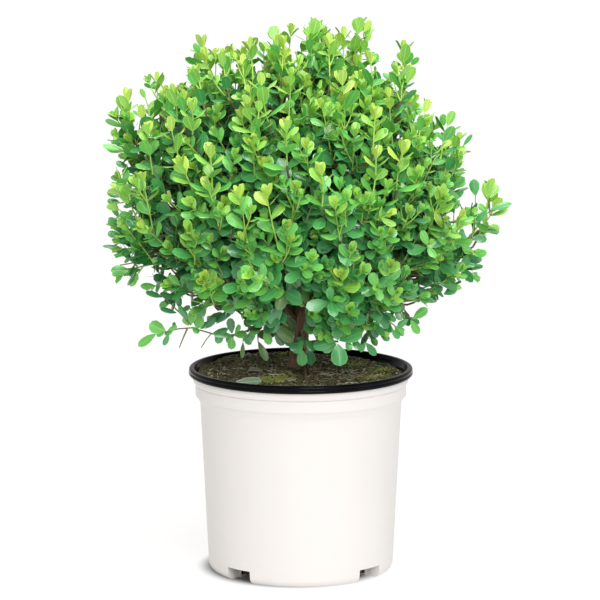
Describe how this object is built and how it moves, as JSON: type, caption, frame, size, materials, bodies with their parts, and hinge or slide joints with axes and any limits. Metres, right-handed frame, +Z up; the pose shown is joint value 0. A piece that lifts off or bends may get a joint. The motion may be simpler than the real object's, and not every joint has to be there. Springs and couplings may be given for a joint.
{
  "type": "rounded boxwood shrub in a nursery pot",
  "caption": "Young evergreen shrub with a loose rounded leafy crown on a short trunk, growing in a round nursery pot that stands on its flat base, for a garden or patio.",
  "frame": {"origin": "centre of the pot's flat underside", "axes": "+Z up the trunk, -Y towards the front of the pot, +X to its right"},
  "size_m": [0.4054, 0.3764, 0.5642],
  "materials": {
    "white_plastic": "satin, smooth moulded",
    "black_plastic": "satin, smooth moulded",
    "potting_mix": "rough, moist, crumbly",
    "bark": "rough, finely furrowed",
    "foliage": "leathery, softly glossy"
  },
  "bodies": {
    "root": {"bough_high_1": "bark", "bough_high_2": "bark", "bough_high_3": "bark", "bough_high_4": "bark", "bough_low_1": "bark", "bough_low_2": "bark", "bough_low_3": "bark", "bough_low_4": "bark", "bough_low_5": "bark", "bough_middle_1": "bark", "bough_middle_2": "bark", "bough_middle_3": "bark", "bough_middle_4": "bark", "bough_middle_5": "bark", "bough_middle_6": "bark", "bough_top": "bark", "foliage_high_1": "foliage", "foliage_high_2": "foliage", "foliage_high_3": "foliage", "foliage_high_4": "foliage", "foliage_low_1": "foliage", "foliage_low_2": "foliage", "foliage_low_3": "foliage", "foliage_low_4": "foliage", "foliage_low_5": "foliage", "foliage_middle_1": "foliage", "foliage_middle_2": "foliage", "foliage_middle_3": "foliage", "foliage_middle_4": "foliage", "foliage_middle_5": "foliage", "foliage_middle_6": "foliage", "foliage_sprig": "foliage", "foliage_top": "foliage", "pot_rim": "black_plastic", "pot_wall": "white_plastic", "soil": "potting_mix", "trunk": "bark"}
  },
  "joints": []
}
